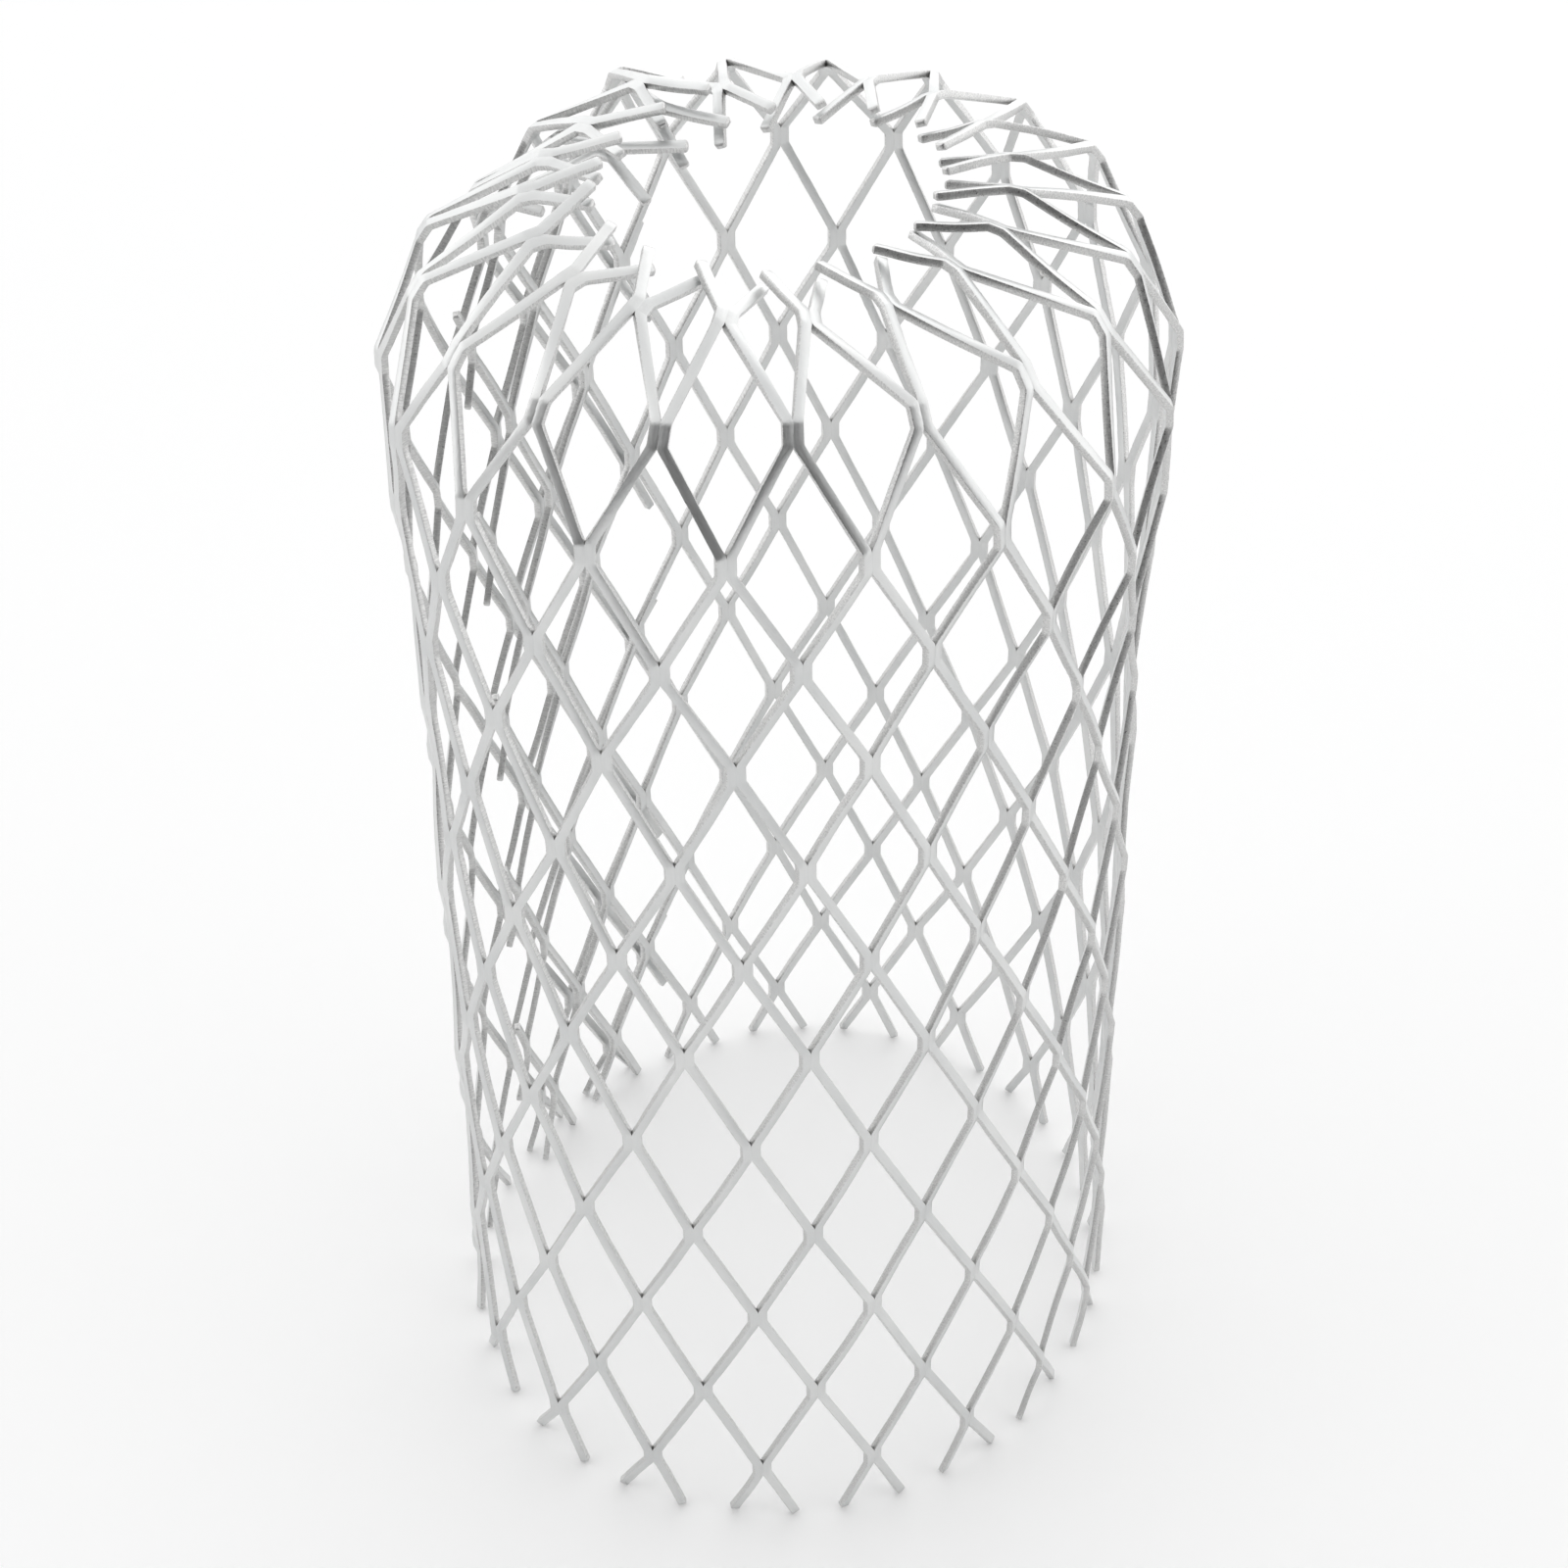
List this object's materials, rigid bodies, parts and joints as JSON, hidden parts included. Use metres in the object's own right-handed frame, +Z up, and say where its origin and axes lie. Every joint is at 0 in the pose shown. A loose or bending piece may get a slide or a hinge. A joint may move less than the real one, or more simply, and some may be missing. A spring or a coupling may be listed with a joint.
{
  "type": "gutter outlet strainer",
  "caption": "Open-bottomed cage of expanded aluminium with a folded-in crown, set in a gutter outlet to keep leaves out of the downpipe.",
  "frame": {"origin": "centre of the foot, on the plane that the cut prong ends stand on", "axes": "+Z up the tube axis from the foot to the crown; the front of the tube faces -Y, with the lap seam at the back left"},
  "size_m": [0.0755, 0.0745, 0.148],
  "materials": {
    "expanded_aluminium": "mill finish, sheared edges"
  },
  "bodies": {
    "root": {"strand_01": "expanded_aluminium", "strand_02": "expanded_aluminium", "strand_03": "expanded_aluminium", "strand_04": "expanded_aluminium", "strand_05": "expanded_aluminium", "strand_06": "expanded_aluminium", "strand_07": "expanded_aluminium", "strand_08": "expanded_aluminium", "strand_09": "expanded_aluminium", "strand_10": "expanded_aluminium", "strand_11": "expanded_aluminium", "strand_12": "expanded_aluminium", "strand_13": "expanded_aluminium", "strand_14": "expanded_aluminium", "strand_15": "expanded_aluminium", "strand_16": "expanded_aluminium", "strand_17": "expanded_aluminium", "strand_18": "expanded_aluminium", "strand_19": "expanded_aluminium", "strand_20": "expanded_aluminium", "strand_21": "expanded_aluminium", "strand_22": "expanded_aluminium", "strand_23": "expanded_aluminium", "strand_24": "expanded_aluminium", "strand_25": "expanded_aluminium", "strand_26": "expanded_aluminium", "strand_27": "expanded_aluminium", "strand_28": "expanded_aluminium", "strand_29": "expanded_aluminium", "strand_30": "expanded_aluminium", "strand_31": "expanded_aluminium", "strand_32": "expanded_aluminium", "strand_33": "expanded_aluminium", "strand_34": "expanded_aluminium", "strand_35": "expanded_aluminium", "strand_36": "expanded_aluminium", "strand_37": "expanded_aluminium", "strand_38": "expanded_aluminium", "strand_39": "expanded_aluminium", "strand_40": "expanded_aluminium", "strand_41": "expanded_aluminium", "strand_42": "expanded_aluminium", "outer_seam_prong_row_01": "expanded_aluminium", "outer_seam_prong_row_03": "expanded_aluminium", "outer_seam_prong_row_05": "expanded_aluminium", "outer_seam_prong_row_07": "expanded_aluminium", "outer_seam_prong_row_09": "expanded_aluminium", "outer_seam_prong_row_11": "expanded_aluminium", "inner_seam_prong_row_01": "expanded_aluminium", "inner_seam_prong_row_03": "expanded_aluminium", "inner_seam_prong_row_05": "expanded_aluminium", "inner_seam_prong_row_07": "expanded_aluminium", "inner_seam_prong_row_09": "expanded_aluminium", "inner_seam_prong_row_11": "expanded_aluminium"}
  },
  "joints": []
}
